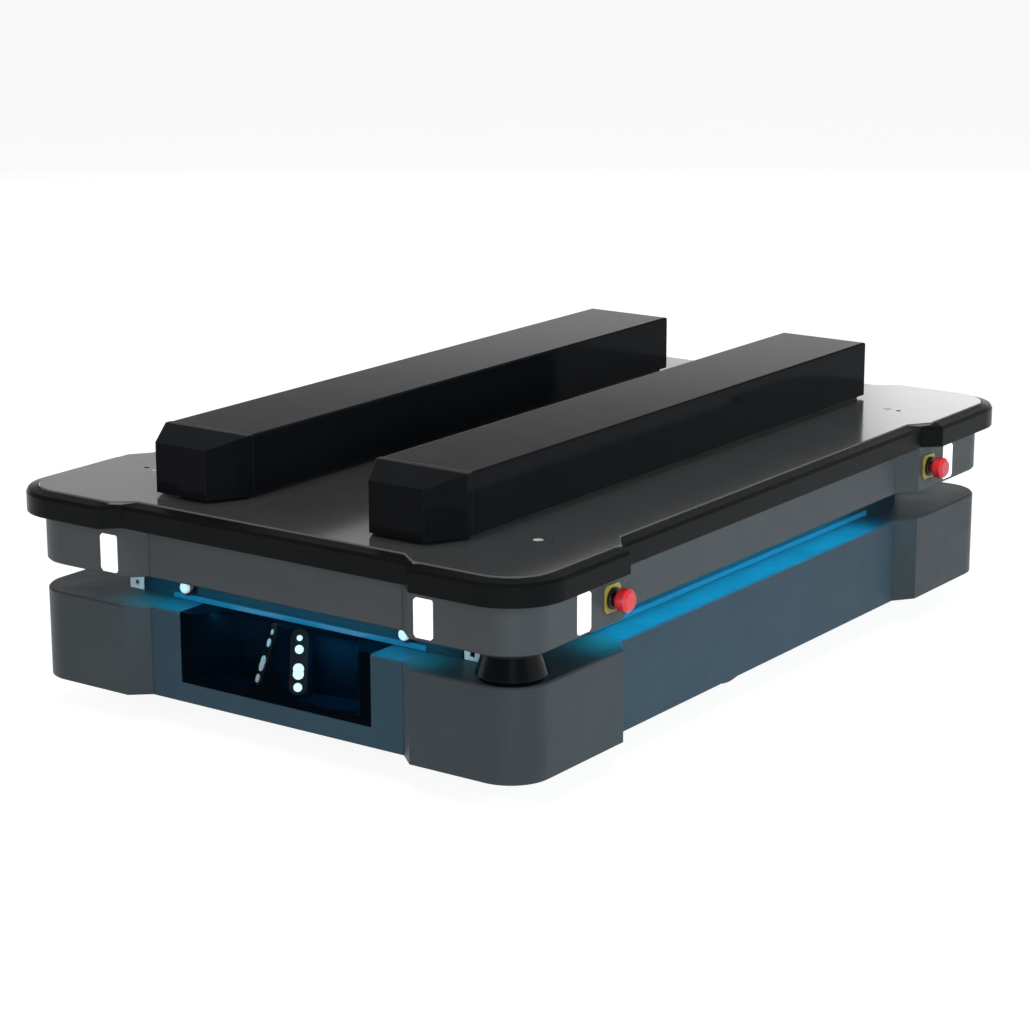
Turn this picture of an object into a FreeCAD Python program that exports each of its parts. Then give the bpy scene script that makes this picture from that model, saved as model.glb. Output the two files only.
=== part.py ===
import FreeCAD, Part
import math
import os
import re

import Sketcher
from FreeCAD import Placement, Rotation, Vector

# Autonomous mobile robot that drives under a pallet and lifts it on two bars.
# Frame: millimetres, +Z up, origin on the floor under the middle of the robot.
# The robot drives towards -Y, so the short face with the cameras is at -Y,
# and the robot's own left side is at +X.

SIZES = {
    # covers, as one outline with a recessed panel in the middle of each side
    "body_length": 1298,
    "body_width": 858,
    "corner_radius": 58,
    "panel_step": 23.5,
    "end_arm": 207,
    "end_step_run": 27,
    "side_arm": 266,
    "side_step_run": 32,
    "cover_wall": 4,
    "cover_seam": 0.6,
    "overcut": 1,
    "cover_bevel": 2.5,
    # heights
    "ground_clearance": 42,
    "lower_top": 172,
    "upper_bottom": 213,
    "upper_top": 285.5,
    "plate_top": 322,
    # edge trim and load plate
    "rim_overhang": 26,
    "rim_band_top": 312,
    "rim_nose_top": 317,
    "rim_nose_run": 3,
    "rim_top": 320,
    "rim_bevel_run": 18,
    "rim_end_shift": 25,
    "rim_side_shift": 34,
    "rim_step_run": 23,
    "rim_width": 30,
    "plate_thickness": 8,
    "plate_gap": 1.2,
    "plate_edge": 1.5,
    "plate_step_back": 15,
    "plate_step_run": 32,
    "insert_in_x": 93,
    "insert_in_y": 169,
    "insert_radius": 7,
    "insert_bore": 4.25,
    "insert_sink": 0.3,
    "dowel_pitch": 20,
    "dowel_radius": 4.25,
    # slot between the lower and the upper covers
    "gap_depth": 52,
    "notch_x": 148,
    "notch_y": 169,
    "gap_wall": 4,
    "strip_height": 7,
    "strip_depth": 3,
    "strip_rise": 1,
    # chassis
    "deck_thickness": 10,
    "deck_bottom": 150,
    "post_side": 40,
    "post_side_y": 250,
    "frame_gap": 4.5,
    "frame_beam": 44,
    "frame_height": 30,
    # drive wheels and gearmotors
    "drive_radius": 100,
    "drive_width": 50,
    "drive_side_gap": 7.5,
    "tread": 14,
    "tread_edge": 3,
    "hub_recess": 16,
    "hub_rim": 8,
    "hub_slope": 6,
    "drive_shaft": 12.5,
    "running_gap": 0.05,
    "gear_side": 100,
    "gear_length": 84,
    "motor_radius": 42,
    "motor_length": 100,
    "wheel_clearance": 8,
    # casters
    "caster_in_x": 129,
    "caster_in_y": 124,
    "caster_radius": 62.5,
    "caster_width": 34,
    "caster_tread": 12,
    "caster_lip": 6,
    "caster_web": 20,
    "caster_trail": 38,
    "caster_axle": 6,
    "caster_pin": 9,
    "caster_head": 34,
    "caster_plate_x": 84,
    "caster_plate_y": 106,
    "caster_plate_z": 5,
    "caster_crown_rise": 2.6,
    "caster_crown": 7,
    "fork_leg": 5,
    "fork_root": 8,
    "fork_boss": 14,
    "axle_proud": 3,
    "caster_tread_edge": 4,
    "fork_gap": 2,
    "turn_gap": 0.4,
    # battery and electronics
    "battery_half_width": 150,
    "battery_front": 150,
    "battery_back": 420,
    "battery_height": 84,
    "tray_wall": 3,
    "computer_length": 150,
    "computer_width": 260,
    "computer_height": 60,
    "box_gap": 24,
    "fin_count": 9,
    "fin_depth": 8,
    # pallet lifts
    "lift_x": 188,
    "lift_width": 151,
    "lift_front_in": 57,
    "lift_back_in": 113,
    "lift_height": 90,
    "lift_shadow": 4.5,
    "lift_skin": 3,
    "lift_stroke": 60,
    "lift_cover_lap": 6,
    "lift_base_gap": 5,
    "nose_length": 55,
    "nose_side": 30,
    "nose_drop": 14,
    "nose_back": 66,
    "jack_spacing": 380,
    "jack_radius": 20,
    "jack_clearance": 1,
    "jack_beam": 26,
    "jack_foot": 8,
    "jack_head": 22,
    "nose_seam": 0.5,
    "lift_round": 3,
    "rod_radius": 13,
    # laser scanners
    "scanner_in": 52.5,
    "scanner_radius": 48,
    "scanner_top_radius": 38,
    "scanner_foot_radius": 43,
    "scanner_foot_rise": 7,
    "scanner_head": 5,
    "scanner_head_rim": 4,
    # signal lights
    "signal_in_x": 154.5,
    "signal_in_y": 139,
    "signal_width": 31,
    "signal_height": 54,
    "signal_bottom": 218,
    "signal_depth": 3,
    "signal_proud": 1,
    "signal_clip": 4,
    # emergency stops
    "stop_in_y": 204,
    "stop_z": 250,
    "stop_plate_width": 37,
    "stop_plate_height": 38,
    "stop_plate_depth": 2,
    "stop_plate_clip": 5,
    "stop_collar_radius": 15,
    "stop_collar_edge": 1,
    "stop_neck": 12.5,
    "stop_hole_play": 0.5,
    "stop_collar_length": 5.5,
    "stop_cap_radius": 16,
    "stop_cap_length": 18,
    "stop_cap_edge": 2.5,
    "stop_cap_crown": 4,
    "stop_stem": 7,
    "stop_travel": 4,
    "stop_rest_gap": 1,
    # release buttons in the front slot
    "release_in": 29,
    "release_z": 193,
    "release_radius": 8,
    "release_bezel": 12,
    "release_neck": 9,
    "release_edge": 1.5,
    "release_bezel_length": 10,
    "release_proud": 2,
    "release_travel": 3,
    # camera niche in the front cover
    "niche_side": 54,
    "niche_bottom": 70,
    "niche_floor": 80,
    "niche_lip": 3,
    "niche_splay": 40,
    "niche_frame": 20,
    "niche_back_depth": 48,
    "niche_throat": 7,
    "niche_round": 12,
    "camera_x": 29,
    "camera_in": 19.5,
    "camera_z": 131,
    "camera_yaw": 30,
    "camera_tilt": 20,
    "camera_height": 90,
    "camera_width": 25,
    "camera_depth": 12,
    "camera_margin": 2,
    "camera_proud": 1,
    "lens_depth": 0.8,
    "lens_dot_z": 32,
    "lens_dot_radius": 4,
    "lens_high_z": 16.5,
    "lens_high_radius": 6,
    "lens_oval_z": -13.5,
    "lens_oval_radius": 7.5,
    "lens_oval_straight": 3.5,
    "lens_low_z": -35,
    "lens_low_radius": 6,
    "niche_fit": 0.4,
    "niche_sink": 1,
    "wedge_back_half": 37,
    # brackets in the slot between the covers
    "bracket_width": 30,
    "bracket_depth": 12,
    "bracket_height": 23,
}

# places and sizes that follow from the ones above
DERIVED = {
    "end_panel_half": "body_width / 2 - end_arm",
    "side_panel_half": "body_length / 2 - side_arm",
    "rim_radius": "corner_radius + rim_overhang",
    "rim_end_half": "end_panel_half + rim_end_shift",
    "rim_side_half": "side_panel_half + rim_side_shift",
    "plate_end_half": "rim_end_half - plate_step_back",
    "plate_side_half": "rim_side_half - plate_step_back",
    "insert_x": "body_width / 2 - insert_in_x",
    "insert_y": "body_length / 2 - insert_in_y",
    "dowel_x": "insert_x + dowel_pitch",
    "gap_end_half": "body_width / 2 - notch_x",
    "gap_side_half": "body_length / 2 - notch_y",
    "frame_half_width": "body_width / 2 - panel_step - gap_depth - gap_wall - frame_gap",
    "frame_half_length": "body_length / 2 - panel_step - gap_depth - gap_wall - frame_gap",
    "post_end_x": "gap_end_half - gap_wall - frame_gap - post_side / 2",
    "post_end_y": "frame_half_length - frame_beam / 2",
    "post_side_x": "frame_half_width - frame_beam / 2",
    "post_corner_y": "gap_side_half - post_side",
    "drive_outer_x": "body_width / 2 - panel_step - gap_depth - drive_side_gap",
    "caster_x": "body_width / 2 - caster_in_x",
    "caster_y": "body_length / 2 - caster_in_y",
    "lift_front": "body_length / 2 - lift_front_in",
    "lift_back": "body_length / 2 - lift_back_in",
    "scanner_x": "body_width / 2 - scanner_in",
    "scanner_y": "body_length / 2 - scanner_in",
    "signal_x": "body_width / 2 - signal_in_x",
    "signal_y": "body_length / 2 - signal_in_y",
    "stop_y": "body_length / 2 - stop_in_y",
    "release_x": "end_panel_half - release_in",
    "niche_half": "end_panel_half - niche_side",
    "niche_mouth_half": "niche_half - niche_frame",
    "niche_back_half": "niche_mouth_half - niche_splay",
    "camera_y": "body_length / 2 - panel_step - camera_in",
}

doc = FreeCAD.newDocument("mobile_robot")
sheet = doc.addObject("Spreadsheet::Sheet", "Sizes")
rows = {**SIZES, **{word: "=" + formula for word, formula in DERIVED.items()}}
for row, (word, value) in enumerate(rows.items(), start=1):
    sheet.set(f"A{row}", word)
    sheet.set(f"B{row}", str(value))
    sheet.setAlias(f"B{row}", word)
doc.recompute()

nodes = {}


# ---------------------------------------------------------------- helpers
def bound(formula):
    """Point each size's word in a formula at its cell in the sheet."""
    return re.sub(r"[a-z][a-z_0-9]*", lambda m: "Sizes." + m[0] if m[0] in rows else m[0], formula)


def value(formula):
    """The number that a formula over the sizes gives now."""
    return float(sheet.evalExpression(bound(formula)))


def new_body(name):
    body = doc.addObject("PartDesign::Body", name)
    body.Label = name
    return body


def keep(name, thing):
    """Register a finished sub-part under its node's name."""
    thing.Label = name
    nodes[name] = thing
    return thing


def place(thing, x="0", y="0", z="0", axis=None, turn=0):
    """Put a sub-part at formulas of the sizes, turned about an axis."""
    if axis is not None:
        thing.Placement = Placement(Vector(), Rotation(Vector(*axis), turn))
    for letter, formula in zip("xyz", (x, y, z)):
        thing.setExpression(f"Placement.Base.{letter}", bound(formula))
    return thing


def sketch(body, role, loops, at="0"):
    """A sketch on one of the body's own planes, moved along its normal.

    A loop is a list of corners, or a tuple (x, y, radius) for a circle.
    Every coordinate is a formula over the sizes.
    """
    drawing = body.newObject("Sketcher::SketchObject", body.Name + "_sketch")
    origin_plane = next(item for item in body.Origin.OriginFeatures if item.Role == role)
    drawing.AttachmentSupport = (origin_plane, [""])
    drawing.MapMode = "FlatFace"
    drawing.setExpression("AttachmentOffset.Base.z", bound(at))
    for loop in loops:
        if isinstance(loop, tuple):
            draw_circle(drawing, *loop)
        else:
            draw_polygon(drawing, loop)
    return drawing


def pin_point(drawing, shape, point, x, y):
    """Hold a point of the sketch at two formulas."""
    for kind, formula in (("DistanceX", x), ("DistanceY", y)):
        number = drawing.addConstraint(
            Sketcher.Constraint(kind, -1, 1, shape, point, value(formula)))
        drawing.setExpression(f"Constraints[{number}]", bound(formula))


def corner_pieces(corners):
    """Split an outline into points, with two points and an arc at each rounded corner.

    Lines that meet at a rounded corner run along the sketch's own axes.
    """
    pieces = []
    for number, (x, y, *radius) in enumerate(corners):
        if not radius:
            pieces.append((x, y, None))
            continue
        here = Vector(value(x), value(y), 0)
        before, after = corners[number - 1], corners[(number + 1) % len(corners)]
        ends = []
        for other in (before, after):
            away = Vector(value(other[0]), value(other[1]), 0) - here
            if abs(away.x) > abs(away.y):
                ends.append((f"{x} + {int(math.copysign(1, away.x))} * ({radius[0]})", y))
            else:
                ends.append((x, f"{y} + {int(math.copysign(1, away.y))} * ({radius[0]})"))
        pieces.append((*ends[0], radius[0]))
        pieces.append((*ends[1], None))
    return pieces


def draw_polygon(drawing, corners):
    """Draw a closed outline of (x, y) corners and (x, y, radius) rounded corners."""
    pieces = corner_pieces(corners)
    points = [Vector(value(x), value(y), 0) for x, y, radius in pieces]
    shapes = []
    for number, (x, y, radius) in enumerate(pieces):
        start, end = points[number], points[(number + 1) % len(points)]
        if radius is None:
            shapes.append((drawing.addGeometry(Part.LineSegment(start, end), False), 1, 2))
            continue
        came = (start - points[number - 1]).normalize()
        centre = start + (end - start) - came * (end - start).dot(came)
        turns_left = (start - centre).cross(end - centre).z > 0
        low, high = (start, end) if turns_left else (end, start)
        arc = Part.ArcOfCircle(Part.Circle(centre, Vector(0, 0, 1), value(radius)),
                               math.atan2(low.y - centre.y, low.x - centre.x),
                               math.atan2(high.y - centre.y, high.x - centre.x))
        shape = drawing.addGeometry(arc, False)
        number = drawing.addConstraint(Sketcher.Constraint("Radius", shape, value(radius)))
        drawing.setExpression(f"Constraints[{number}]", bound(radius))
        shapes.append((shape, 1, 2) if turns_left else (shape, 2, 1))
    for (shape, _, last), (following, first, _) in zip(shapes, shapes[1:] + shapes[:1]):
        drawing.addConstraint(Sketcher.Constraint("Coincident", shape, last, following, first))
    for (shape, first, _), (x, y, _) in zip(shapes, pieces):
        pin_point(drawing, shape, first, x, y)


def draw_circle(drawing, x, y, radius):
    centre = Vector(value(x), value(y), 0)
    shape = drawing.addGeometry(Part.Circle(centre, Vector(0, 0, 1), value(radius)), False)
    pin_point(drawing, shape, 3, x, y)
    number = drawing.addConstraint(Sketcher.Constraint("Radius", shape, value(radius)))
    drawing.setExpression(f"Constraints[{number}]", bound(radius))


def pad(body, drawing, length, back=False):
    feature = body.newObject("PartDesign::Pad", body.Name + "_pad")
    feature.Profile = drawing
    feature.setExpression("Length", bound(length))
    feature.Reversed = back
    doc.recompute()
    return feature


def pocket(body, drawing, length, back=False):
    """Cut a sketch into the body, and make sure that it took something away."""
    before = body.Shape.Volume
    feature = body.newObject("PartDesign::Pocket", body.Name + "_pocket")
    feature.Profile = drawing
    feature.setExpression("Length", bound(length))
    feature.Reversed = back
    doc.recompute()
    if not body.Shape.Volume < before - 1e-3:
        raise RuntimeError(f"{feature.Name} cuts nothing")
    return feature


def revolve(body, profile):
    """Turn a profile of (radius, height) corners about the body's Z axis."""
    drawing = sketch(body, "XZ_Plane", [profile])
    feature = body.newObject("PartDesign::Revolution", body.Name + "_turned")
    feature.Profile = drawing
    feature.ReferenceAxis = (drawing, ["V_Axis"])
    feature.Angle = 360
    doc.recompute()
    return feature


def edges_where(feature, test):
    return [f"Edge{number}" for number, edge in enumerate(feature.Shape.Edges, start=1) if test(edge)]


def round_edges(body, feature, test, radius):
    found = edges_where(feature, test)
    fillet = body.newObject("PartDesign::Fillet", body.Name + "_round")
    fillet.Base = (feature, found)
    fillet.setExpression("Radius", bound(radius))
    doc.recompute()
    return fillet


def bevel_edges(body, feature, test, first, second):
    found = edges_where(feature, test)
    chamfer = body.newObject("PartDesign::Chamfer", body.Name + "_bevel")
    chamfer.Base = (feature, found)
    chamfer.ChamferType = "Two distances"
    chamfer.setExpression("Size", bound(first))
    chamfer.setExpression("Size2", bound(second))
    doc.recompute()
    return chamfer


def flat_at(height, slack=0.01):
    """Test for an edge that lies flat at a height."""
    def test(edge):
        box = edge.BoundBox
        return abs(box.ZMin - height) < slack and abs(box.ZMax - height) < slack
    return test


def mirrored(thing, name, normal):
    copy = doc.addObject("Part::Mirroring", name)
    copy.Source = thing
    copy.Normal = Vector(*normal)
    copy.Label = name
    doc.recompute()
    return copy


def group(name, things):
    """One sub-part made of identical separate solids."""
    together = doc.addObject("Part::Compound", name)
    together.Links = things
    return keep(name, together)


def cut(name, base, tool):
    feature = doc.addObject("Part::Cut", name)
    feature.Base = base
    feature.Tool = tool
    return keep(name, feature)


def four_corners(name, thing):
    """The sub-part and its three mirror images, as one group."""
    across = mirrored(thing, name + "_across", (1, 0, 0))
    behind = mirrored(thing, name + "_behind", (0, 1, 0))
    opposite = mirrored(behind, name + "_opposite", (1, 0, 0))
    return group(name, [thing, across, behind, opposite])


def box_corners(x1, x2, y1, y2):
    return [(x1, y1), (x2, y1), (x2, y2), (x1, y2)]


# ---------------------------------------------------------------- outlines
HALF_LENGTH = "body_length / 2"
HALF_WIDTH = "body_width / 2"
PANEL_Y = "(body_length / 2 - panel_step)"
PANEL_X = "(body_width / 2 - panel_step)"
WALL_Y = "(body_length / 2 - panel_step - gap_depth)"
WALL_X = "(body_width / 2 - panel_step - gap_depth)"


def quarter(grow, end_half, end_run, side_half, side_run, radius, inset="0"):
    """Five corners of the stepped outline in the quarter where x and y are positive."""
    end_shift = f"({inset}) * tan(atan(panel_step / {end_run}) / 2)"
    side_shift = f"({inset}) * tan(atan(panel_step / {side_run}) / 2)"
    far_y = f"({HALF_LENGTH} + {grow} - ({inset}))"
    far_x = f"({HALF_WIDTH} + {grow} - ({inset}))"
    return [
        (f"{end_half} + {end_shift}", f"{far_y} - panel_step"),
        (f"{end_half} + {end_run} + {end_shift}", far_y),
        (far_x, far_y, f"{radius} - ({inset})"),
        (far_x, f"{side_half} + {side_run} + {side_shift}"),
        (f"{far_x} - panel_step", f"{side_half} + {side_shift}"),
    ]


def signed(corners, sign_x, sign_y):
    return [(f"{sign_x} * ({x})", f"{sign_y} * ({y})", *radius) for x, y, *radius in corners]


def whole_outline(corners):
    """Four quarters joined into one closed outline."""
    first = signed(corners, 1, 1)
    second = signed(corners, 1, -1)[::-1]
    third = signed(corners, -1, -1)
    fourth = signed(corners, -1, 1)[::-1]
    return first + second + third + fourth


def rim_outline(inset):
    return whole_outline(quarter("rim_overhang", "rim_end_half", "rim_step_run",
                                 "rim_side_half", "rim_step_run", "rim_radius", inset))


def plate_outline(grow):
    """The load plate, whose steps start nearer to the middle than those of the rim."""
    return whole_outline(quarter("(rim_overhang - rim_bevel_run)", "plate_end_half", "plate_step_run",
                                 "plate_side_half", "plate_step_run", "(rim_radius - rim_bevel_run)",
                                 f"-({grow})"))


def gap_outline(inset):
    """The wall at the back of the slot, notched at the corners for the scanners."""
    wall_x = f"{WALL_X} - ({inset})"
    wall_y = f"{WALL_Y} - ({inset})"
    notch_x = f"gap_end_half - ({inset})"
    notch_y = f"gap_side_half - ({inset})"
    return whole_outline([(notch_x, wall_y), (notch_x, notch_y), (wall_x, notch_y)])


# ---------------------------------------------------------------- covers
def cover_corner(name, sign_x, sign_y, bottom, top, open_below):
    """A moulded corner cover: outer wall with its steps, and the ledge beside the slot."""
    steps = ("0", "end_panel_half", "end_step_run", "side_panel_half", "side_step_run", "corner_radius")
    outer = quarter(*steps)
    ledge_back = [
        (WALL_X, "side_panel_half"),
        (WALL_X, "gap_side_half"),
        ("gap_end_half", "gap_side_half"),
        ("gap_end_half", WALL_Y),
        ("end_panel_half", WALL_Y),
    ]
    body = new_body(name)
    block = pad(body, sketch(body, "XY_Plane", [signed(outer + ledge_back, sign_x, sign_y)], bottom),
                f"{top} - {bottom}")
    visible_end = value(top) if open_below else value(bottom)
    wall_line = flat_at(visible_end)

    def on_outer_wall(edge):
        middle = edge.CenterOfMass
        outside = abs(middle.x) > value(PANEL_X) - 1 or abs(middle.y) > value(PANEL_Y) - 1
        on_seam = (abs(abs(middle.x) - value("end_panel_half")) < 0.01
                   or abs(abs(middle.y) - value("side_panel_half")) < 0.01)
        return wall_line(edge) and outside and not on_seam
    bevel_edges(body, block, on_outer_wall, "cover_bevel", "cover_bevel")
    inner = quarter(*steps, "cover_wall")
    middle_of_robot = [("side_panel_half / 2", "side_panel_half / 2")]
    start_y = ("end_panel_half - overcut", inner[0][1])
    start_x = (inner[4][0], "side_panel_half - overcut")
    hollow = [start_y] + inner + [start_x] + middle_of_robot
    if open_below:
        cut_at, cut_length, away = f"{bottom} - overcut", f"{top} - {bottom} - cover_wall + overcut", True
    else:
        cut_at, cut_length, away = f"{bottom} + cover_wall", f"{top} - {bottom}", True
    pocket(body, sketch(body, "XY_Plane", [signed(hollow, sign_x, sign_y)], cut_at),
           cut_length, away)
    return body


QUARTERS = {
    "front_left": (1, -1),
    "front_right": (-1, -1),
    "rear_left": (1, 1),
    "rear_right": (-1, 1),
}


def lower_corners():
    for place_name, (sign_x, sign_y) in QUARTERS.items():
        name = "lower_corner_" + place_name
        keep(name, cover_corner(name, sign_x, sign_y, "ground_clearance", "lower_top", True))


def upper_corners():
    """Upper corner covers, each with two shallow seats for the signal lights."""
    covers = []
    for place_name, (sign_x, sign_y) in QUARTERS.items():
        body = cover_corner("upper_corner_" + place_name, sign_x, sign_y,
                            "upper_bottom", "upper_top", False)
        seat = "signal_depth - signal_proud"
        across = box_corners(f"{sign_x} * signal_x - signal_width / 2",
                             f"{sign_x} * signal_x + signal_width / 2",
                             "signal_bottom", "signal_bottom + signal_height")
        end_sketch = sketch(body, "XZ_Plane", [across], f"{-sign_y} * ({HALF_LENGTH})")
        pocket(body, end_sketch, seat, back=sign_y > 0)
        along = box_corners(f"{sign_y} * signal_y - signal_width / 2",
                            f"{sign_y} * signal_y + signal_width / 2",
                            "signal_bottom", "signal_bottom + signal_height")
        side_sketch = sketch(body, "YZ_Plane", [along], f"{sign_x} * ({HALF_WIDTH})")
        pocket(body, side_sketch, seat, back=sign_x < 0)
        hole = (f"{sign_y} * stop_y", "stop_z", "stop_neck + stop_hole_play")
        stop_hole = sketch(body, "YZ_Plane", [hole], f"{sign_x} * ({HALF_WIDTH})")
        pocket(body, stop_hole, "2 * cover_wall", back=sign_x < 0)
        covers.append(body)
    group("upper_corner_covers", covers)


def panel(name, axis, sign, bottom, top, open_below):
    """A recessed middle cover between two corner covers: a wall with one ledge."""
    if axis == "y":
        role, half, face, back = "YZ_Plane", "end_panel_half", PANEL_Y, WALL_Y
    else:
        role, half, face, back = "XZ_Plane", "side_panel_half", PANEL_X, WALL_X
    half = f"({half} - cover_seam)"
    if open_below:
        section = [(back, top), (face, top), (face, bottom), (f"{face} - cover_wall", bottom),
                   (f"{face} - cover_wall", f"{top} - cover_wall"), (back, f"{top} - cover_wall")]
    else:
        section = [(back, bottom), (face, bottom), (face, top), (f"{face} - cover_wall", top),
                   (f"{face} - cover_wall", f"{bottom} + cover_wall"), (back, f"{bottom} + cover_wall")]
    body = new_body(name)
    drawing = sketch(body, role, [[(f"{sign} * ({across})", up) for across, up in section]], f"-{half}")
    block = pad(body, drawing, f"2 * {half}")
    edge_height = value(top) if open_below else value(bottom)
    face_at = value(face)

    def long_outer_edge(edge):
        middle = edge.CenterOfMass
        out = abs(middle.y) if axis == "y" else abs(middle.x)
        return flat_at(edge_height)(edge) and abs(out - face_at) < 0.01
    bevel_edges(body, block, long_outer_edge, "cover_bevel", "cover_bevel")
    return body


def lower_panels():
    """Side and rear panels are plain; the front one is cut out round the camera niche."""
    keep("lower_left_cover", panel("lower_left_cover", "x", 1, "ground_clearance", "lower_top", True))
    keep("lower_right_cover", panel("lower_right_cover", "x", -1, "ground_clearance", "lower_top", True))
    keep("lower_rear_cover", panel("lower_rear_cover", "y", 1, "ground_clearance", "lower_top", True))
    front = panel("lower_front_cover", "y", -1, "ground_clearance", "lower_top", True)
    opening = box_corners("-niche_half", "niche_half", "niche_bottom", "lower_top + overcut")
    pocket(front, sketch(front, "XZ_Plane", [opening], HALF_LENGTH), "gap_depth + 2 * panel_step",
           back=False)
    keep("lower_front_cover", front)


def upper_panels():
    sides = [panel(f"upper_panel_{word}", "x", sign, "upper_bottom", "upper_top", False)
             for word, sign in (("left", 1), ("right", -1))]
    group("upper_side_panels", sides)
    ends = [panel(f"upper_panel_{word}", "y", sign, "upper_bottom", "upper_top", False)
            for word, sign in (("rear", 1), ("front", -1))]
    group("upper_end_panels", ends)


# ---------------------------------------------------------------- top
def edge_trim():
    """The rim: an upright band, a blunt nose and a shallow bevel up to the load plate."""
    body = new_body("edge_trim")
    pad(body, sketch(body, "XY_Plane", [rim_outline("0")], "upper_top"), "rim_band_top - upper_top")
    nose = pad(body, sketch(body, "XY_Plane", [rim_outline("0")], "rim_band_top"),
               "rim_nose_top - rim_band_top")
    nose.setExpression("TaperAngle", bound("-atan(rim_nose_run / (rim_nose_top - rim_band_top))"))
    bevel = pad(body, sketch(body, "XY_Plane", [rim_outline("rim_nose_run")], "rim_nose_top"),
                "rim_top - rim_nose_top")
    bevel.setExpression("TaperAngle", bound("-atan((rim_bevel_run - plate_gap - rim_nose_run)"
                                            " / (rim_top - rim_nose_top))"))
    pocket(body, sketch(body, "XY_Plane", [plate_outline("plate_gap")], "plate_top"), "plate_thickness")
    inner = sketch(body, "XY_Plane", [rim_outline("rim_width")], "plate_top")
    pocket(body, inner, "plate_top - upper_top + overcut")
    return keep("edge_trim", body)


def top_plate():
    """The load plate, drilled at each corner for an insert and a dowel beside it."""
    body = new_body("top_plate")
    pad(body, sketch(body, "XY_Plane", [plate_outline("0")], "plate_top - plate_thickness"),
        "plate_thickness - plate_edge")
    edge = pad(body, sketch(body, "XY_Plane", [plate_outline("0")], "plate_top - plate_edge"),
               "plate_edge")
    edge.TaperAngle = -45
    holes = []
    for sign_x, sign_y in QUARTERS.values():
        holes.append((f"{sign_x} * insert_x", f"{sign_y} * insert_y", "insert_radius"))
        holes.append((f"{sign_x} * dowel_x", f"{sign_y} * insert_y", "dowel_radius"))
    pocket(body, sketch(body, "XY_Plane", holes + jack_windows(), "plate_top"), "plate_thickness + overcut")
    return keep("top_plate", body)


def plate_inserts():
    """Threaded inserts in the plate's larger holes."""
    body = new_body("insert_front_left")
    revolve(body, [("insert_bore", "-plate_thickness"), ("insert_radius", "-plate_thickness"),
                   ("insert_radius", "-insert_sink"), ("insert_bore", "-insert_sink")])
    place(body, "insert_x", "-insert_y", "plate_top")
    four_corners("plate_inserts", body)


# ---------------------------------------------------------------- slot
def gap_wall():
    """The wall at the back of the slot, standing on the chassis deck."""
    body = new_body("gap_wall")
    bottom = "(deck_bottom + deck_thickness)"
    drawing = sketch(body, "XY_Plane", [gap_outline("0"), gap_outline("gap_wall")], bottom)
    pad(body, drawing, f"upper_bottom + cover_wall - {bottom}")
    holes = [(f"{sign} * release_x", "release_z", "release_neck") for sign in (1, -1)]
    pocket(body, sketch(body, "XZ_Plane", holes, WALL_Y), "gap_wall + overcut")
    return keep("gap_wall", body)


def light_strips():
    """Light guides along the foot of the slot wall, one on each side."""
    bottom = "lower_top + strip_rise"
    strips = []
    for word, sign in (("left", 1), ("right", -1)):
        body = new_body("strip_" + word)
        inner, outer = f"{sign} * {WALL_X}", f"{sign} * ({WALL_X} + strip_depth)"
        rectangle = box_corners(inner, outer, "-side_panel_half", "side_panel_half")
        pad(body, sketch(body, "XY_Plane", [rectangle], bottom), "strip_height")
        strips.append(body)
    for word, sign in (("rear", 1), ("front", -1)):
        body = new_body("strip_" + word)
        inner, outer = f"{sign} * {WALL_Y}", f"{sign} * ({WALL_Y} + strip_depth)"
        rectangle = box_corners("-end_panel_half", "end_panel_half", inner, outer)
        pad(body, sketch(body, "XY_Plane", [rectangle], bottom), "strip_height")
        strips.append(body)
    group("light_strips", strips)


def laser_scanner(name, sign_x, sign_y):
    """A scanner in a corner of the slot: narrow foot, flared window and head."""
    body = new_body(name)
    low, high = "lower_top", "upper_bottom"
    head = "(scanner_top_radius + scanner_head_rim)"
    revolve(body, [("0", low),
                   ("scanner_foot_radius", low),
                   ("scanner_radius", f"{low} + scanner_foot_rise"),
                   ("scanner_top_radius", f"{high} - scanner_head"),
                   (head, f"{high} - scanner_head"),
                   (head, high),
                   ("0", high)])
    place(body, f"{sign_x} * scanner_x", f"{sign_y} * scanner_y")
    return keep(name, body)


def slot_brackets():
    """Aluminium brackets under the upper covers, beside the notches for the scanners."""
    body = new_body("slot_bracket_front_left")
    plan = box_corners("gap_end_half", "gap_end_half + bracket_width",
                       f"-{WALL_Y}", f"-{WALL_Y} + bracket_depth")
    pad(body, sketch(body, "XY_Plane", [plan], "upper_bottom - bracket_height"), "bracket_height")
    four_corners("slot_brackets", body)


# ---------------------------------------------------------------- chassis
def jack_places():
    """The x and y of the lift columns, three under each bar."""
    middle = "(lift_back - lift_front) / 2"
    return [(f"{side} * lift_x", f"{middle} + {step} * jack_spacing")
            for side in (1, -1) for step in (-1, 0, 1)]


def jack_windows():
    """Square openings for the lift columns, in the load plate and in the frame under it."""
    half = "(jack_radius + jack_clearance)"
    return [box_corners(f"{x} - {half}", f"{x} + {half}", f"{y} - {half}", f"{y} + {half}")
            for x, y in jack_places()]


def chassis_deck():
    """The chassis plate, notched for the drive wheels."""
    body = new_body("chassis_deck")
    pad(body, sketch(body, "XY_Plane", [box_corners(f"-{WALL_X}", WALL_X, f"-{WALL_Y}", WALL_Y)],
                     "deck_bottom"), "deck_thickness")
    top = "(deck_bottom + deck_thickness)"
    chord = "(sqrt(drive_radius^2 - (deck_bottom - drive_radius)^2) + wheel_clearance)"
    inner = "(drive_outer_x - drive_width - wheel_clearance)"
    notches = []
    for sign in (1, -1):
        notches.append(box_corners(f"{sign} * {inner}", f"{sign} * ({WALL_X} - gap_wall)",
                                   f"-{chord}", chord))
    pocket(body, sketch(body, "XY_Plane", notches, top), "deck_thickness")
    return keep("chassis_deck", body)


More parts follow.
